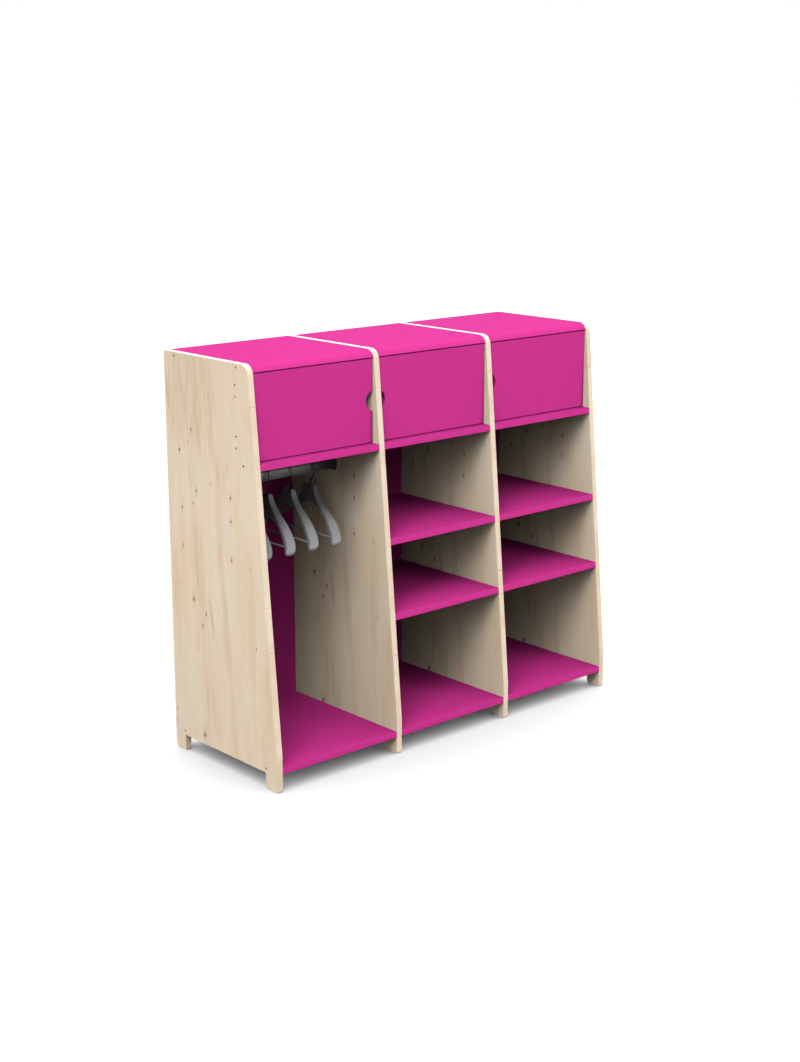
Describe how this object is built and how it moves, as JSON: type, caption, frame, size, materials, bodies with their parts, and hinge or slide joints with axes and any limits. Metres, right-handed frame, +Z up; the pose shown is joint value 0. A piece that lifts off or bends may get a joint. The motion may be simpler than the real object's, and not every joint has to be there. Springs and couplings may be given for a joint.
{
  "type": "kids wardrobe",
  "caption": "Low open wardrobe in bays with leaning fronts, small hinged top doors with finger notches, loose shelves and a hanging rail with contoured hangers.",
  "frame": {"origin": "on the floor, in the middle of the footprint", "axes": "+X from the hanging bay towards the right bay as seen from the front, -Y out of the front, +Z up"},
  "size_m": [1.354, 0.49, 1.19],
  "materials": {
    "solid_spruce": "clear matt varnish over solid spruce with small knots",
    "pink_lacquer": "satin pink lacquer on board",
    "hinge_steel": "nickel-plated steel",
    "rail_metal": "dark grey satin paint",
    "hanger_plastic": "grey moulded plastic",
    "hook_wire": "black coated wire"
  },
  "bodies": {
    "carcass": {"side_panel_left": "solid_spruce", "divider_left": "solid_spruce", "divider_right": "solid_spruce", "side_panel_right": "solid_spruce", "top_board_left": "pink_lacquer", "top_board_middle": "pink_lacquer", "top_board_right": "pink_lacquer", "door_shelf_left": "pink_lacquer", "door_shelf_middle": "pink_lacquer", "door_shelf_right": "pink_lacquer", "bottom_shelf_left": "pink_lacquer", "bottom_shelf_middle": "pink_lacquer", "bottom_shelf_right": "pink_lacquer", "lower_shelf_middle": "pink_lacquer", "upper_shelf_middle": "pink_lacquer", "lower_shelf_right": "pink_lacquer", "upper_shelf_right": "pink_lacquer", "back_panel_left": "pink_lacquer", "back_panel_middle": "pink_lacquer", "back_panel_right": "pink_lacquer", "lower_shelf_wire_middle_1": "hinge_steel", "lower_shelf_wire_middle_2": "hinge_steel", "upper_shelf_wire_middle_1": "hinge_steel", "upper_shelf_wire_middle_2": "hinge_steel", "lower_shelf_wire_right_1": "hinge_steel", "lower_shelf_wire_right_2": "hinge_steel", "upper_shelf_wire_right_1": "hinge_steel", "upper_shelf_wire_right_2": "hinge_steel", "hinge_arm_left_upper": "hinge_steel", "hinge_arm_left_lower": "hinge_steel", "hinge_arm_middle_upper": "hinge_steel", "hinge_arm_middle_lower": "hinge_steel", "hinge_arm_right_upper": "hinge_steel", "hinge_arm_right_lower": "hinge_steel", "hinge_plate_left_upper": "hinge_steel", "hinge_plate_left_lower": "hinge_steel", "hinge_plate_middle_upper": "hinge_steel", "hinge_plate_middle_lower": "hinge_steel", "hinge_plate_right_upper": "hinge_steel", "hinge_plate_right_lower": "hinge_steel", "hanging_rail": "rail_metal", "rail_socket_left": "rail_metal", "rail_socket_right": "rail_metal"},
    "left_door": {"door_left": "pink_lacquer", "hinge_cup_left_upper": "hinge_steel", "hinge_cup_left_lower": "hinge_steel"},
    "middle_door": {"door_middle": "pink_lacquer", "hinge_cup_middle_upper": "hinge_steel", "hinge_cup_middle_lower": "hinge_steel"},
    "right_door": {"door_right": "pink_lacquer", "hinge_cup_right_upper": "hinge_steel", "hinge_cup_right_lower": "hinge_steel"},
    "hook_1": {"hanger_hook_1": "hook_wire"},
    "hook_2": {"hanger_hook_2": "hook_wire"},
    "hook_3": {"hanger_hook_3": "hook_wire"},
    "hook_4": {"hanger_hook_4": "hook_wire"},
    "hanger_body_1": {"hanger_1": "hanger_plastic"},
    "hanger_body_2": {"hanger_2": "hanger_plastic"},
    "hanger_body_3": {"hanger_3": "hanger_plastic"},
    "hanger_body_4": {"hanger_4": "hanger_plastic"}
  },
  "joints": [
    {"name": "left_door_swing", "type": "hinge", "parent": "carcass", "child": "left_door", "pos_m": [-0.638, -0.1355, 1.04425], "axis": [0, 0, -1], "range_deg": [0, 95]},
    {"name": "middle_door_swing", "type": "hinge", "parent": "carcass", "child": "middle_door", "pos_m": [0.193, -0.1355, 1.04425], "axis": [0, 0, 1], "range_deg": [0, 95]},
    {"name": "right_door_swing", "type": "hinge", "parent": "carcass", "child": "right_door", "pos_m": [0.638, -0.1355, 1.04425], "axis": [0, 0, 1], "range_deg": [0, 95]},
    {"name": "hook_1_slide", "type": "slide", "parent": "carcass", "child": "hook_1", "axis": [1, 0, 0], "range_m": [-0.008, 0.015]},
    {"name": "hook_2_slide", "type": "slide", "parent": "carcass", "child": "hook_2", "axis": [1, 0, 0], "range_m": [-0.015, 0.015]},
    {"name": "hook_3_slide", "type": "slide", "parent": "carcass", "child": "hook_3", "axis": [1, 0, 0], "range_m": [-0.015, 0.015]},
    {"name": "hook_4_slide", "type": "slide", "parent": "carcass", "child": "hook_4", "axis": [1, 0, 0], "range_m": [-0.015, 0.055]},
    {"name": "hanger_1_swivel", "type": "hinge", "parent": "hook_1", "child": "hanger_body_1", "pos_m": [-0.56875, 0.034, 0.7831], "axis": [0, 0, 1], "range_deg": [-5, 5]},
    {"name": "hanger_2_swivel", "type": "hinge", "parent": "hook_2", "child": "hanger_body_2", "pos_m": [-0.48625, 0.034, 0.7831], "axis": [0, 0, 1], "range_deg": [-10, 10]},
    {"name": "hanger_3_swivel", "type": "hinge", "parent": "hook_3", "child": "hanger_body_3", "pos_m": [-0.40375, 0.034, 0.7831], "axis": [0, 0, 1], "range_deg": [-10, 10]},
    {"name": "hanger_4_swivel", "type": "hinge", "parent": "hook_4", "child": "hanger_body_4", "pos_m": [-0.32125, 0.034, 0.7831], "axis": [0, 0, 1], "range_deg": [-10, 10]}
  ]
}
